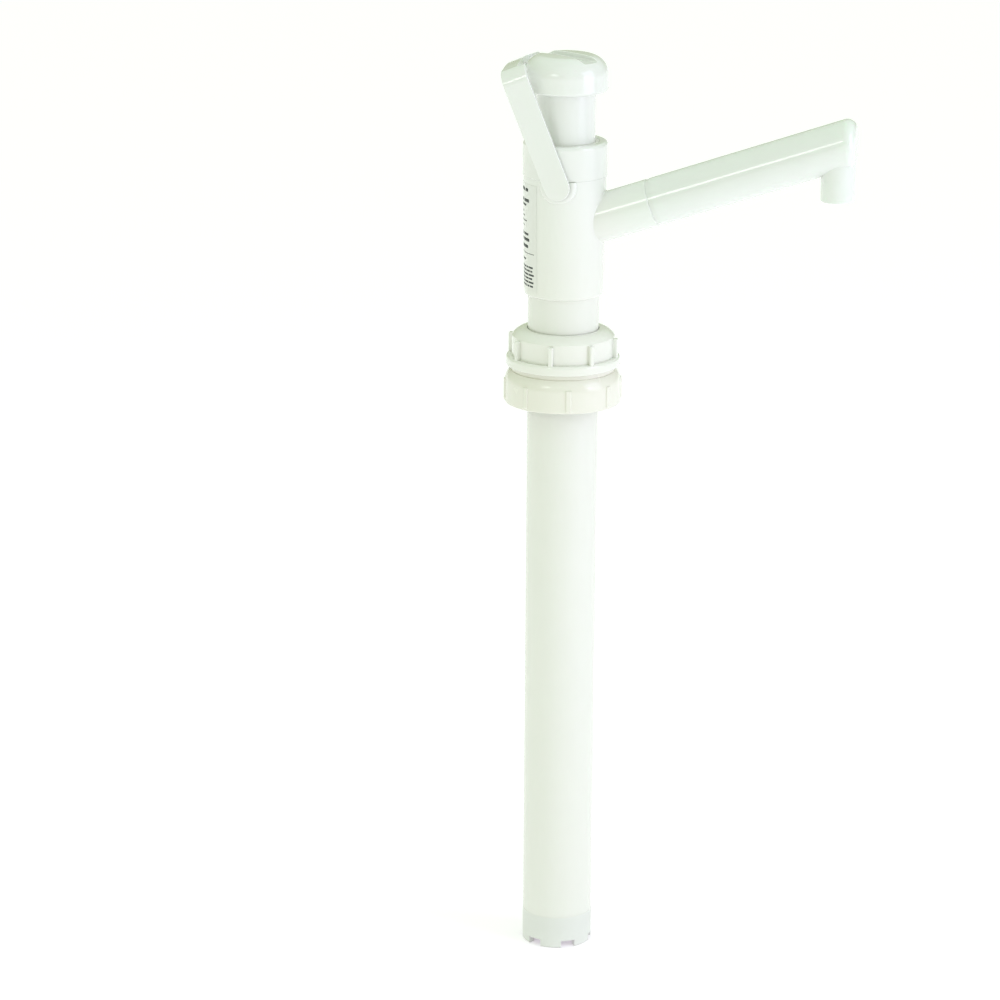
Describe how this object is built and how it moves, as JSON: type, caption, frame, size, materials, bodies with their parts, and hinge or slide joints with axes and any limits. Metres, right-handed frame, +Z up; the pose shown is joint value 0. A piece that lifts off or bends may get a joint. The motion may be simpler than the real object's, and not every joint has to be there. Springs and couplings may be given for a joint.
{
  "type": "hand plunger transfer pump",
  "caption": "Hand plunger pump for a jerrycan: knob, bail, gland, sleeve with inclined spout, screw adaptor and clamp nut, long barrel with ball valves.",
  "frame": {"origin": "centre of the neck adaptor's mouth, where the can's neck enters", "axes": "+Z up along the barrel, +X towards the spout, -Z is the way the can's neck leaves the adaptor"},
  "size_m": [0.2108, 0.0706, 0.5629],
  "materials": {
    "white_plastic": "glossy moulded polypropylene",
    "adaptor_plastic": "glossy moulded polyethylene, slightly creamy",
    "natural_plastic": "glossy, slightly translucent natural polypropylene",
    "barrel_plastic": "extruded polypropylene tube",
    "valve_plastic": "satin moulded polypropylene",
    "bearing_plastic": "smooth PTFE",
    "rubber": "matt EPDM",
    "pale_rubber": "off-white silicone rubber",
    "ball_plastic": "polished polypropylene ball",
    "label_film": null
  },
  "bodies": {
    "neck_fitting": {"neck_adaptor": "adaptor_plastic", "neck_gasket": "rubber"},
    "nut_carrier": {"slip_washer": "bearing_plastic"},
    "nut": {"compression_nut": "white_plastic"},
    "tube_grip": {"cone_seal": "pale_rubber"},
    "barrel": {"barrel_tube": "barrel_plastic", "barrel_seal": "rubber", "head_sleeve": "white_plastic", "sleeve_label": "label_film", "guide_bush": "bearing_plastic", "plunger_seal": "rubber", "gland_ring": "valve_plastic", "gland_cap": "white_plastic", "wiper_ring": "pale_rubber", "spout_tube": "natural_plastic", "spout_seal": "rubber", "foot_valve_body": "valve_plastic", "foot_valve_seal": "rubber", "foot_ball_cage": "valve_plastic", "foot_strainer": "valve_plastic"},
    "bail": {"bail": "white_plastic"},
    "piston_ring": {"piston_seal": "bearing_plastic"},
    "plunger": {"plunger_tube": "white_plastic", "knob": "white_plastic", "plunger_plug": "valve_plastic", "piston_body": "valve_plastic"},
    "transfer_ball": {"piston_ball": "ball_plastic"},
    "suction_ball": {"foot_ball": "ball_plastic"}
  },
  "joints": [
    {"name": "nut_rise", "type": "slide", "parent": "neck_fitting", "child": "nut_carrier", "axis": [0, 0, 1], "range_m": [0, 0.002]},
    {"name": "nut_turn", "type": "hinge", "parent": "nut_carrier", "child": "nut", "pos_m": [0, 0, 0.034], "axis": [0, 0, 1], "range_deg": [0, 180]},
    {"name": "barrel_swivel", "type": "hinge", "parent": "neck_fitting", "child": "tube_grip", "pos_m": [0, 0, 0.034], "axis": [0, 0, 1], "continuous": true},
    {"name": "barrel_height", "type": "slide", "parent": "tube_grip", "child": "barrel", "axis": [0, 0, 1], "range_m": [-0.018, 0.06]},
    {"name": "bail_swing", "type": "hinge", "parent": "barrel", "child": "bail", "pos_m": [0, 0, 0.137], "axis": [0, -1, 0], "range_deg": [0, 115]},
    {"name": "plunger_lift", "type": "slide", "parent": "barrel", "child": "piston_ring", "axis": [0, 0, 1], "range_m": [0, 0.25]},
    {"name": "plunger_turn", "type": "hinge", "parent": "piston_ring", "child": "plunger", "pos_m": [0, 0, 0.2], "axis": [0, 0, 1], "continuous": true},
    {"name": "transfer_ball_lift", "type": "slide", "parent": "plunger", "child": "transfer_ball", "axis": [0, 0, 1], "range_m": [0, 0.005]},
    {"name": "suction_ball_lift", "type": "slide", "parent": "barrel", "child": "suction_ball", "axis": [0, 0, 1], "range_m": [0, 0.005]}
  ],
  "couplings": [
    {"joint": "nut_rise", "follows": "nut_turn", "m_per_rad": 0.000636}
  ]
}
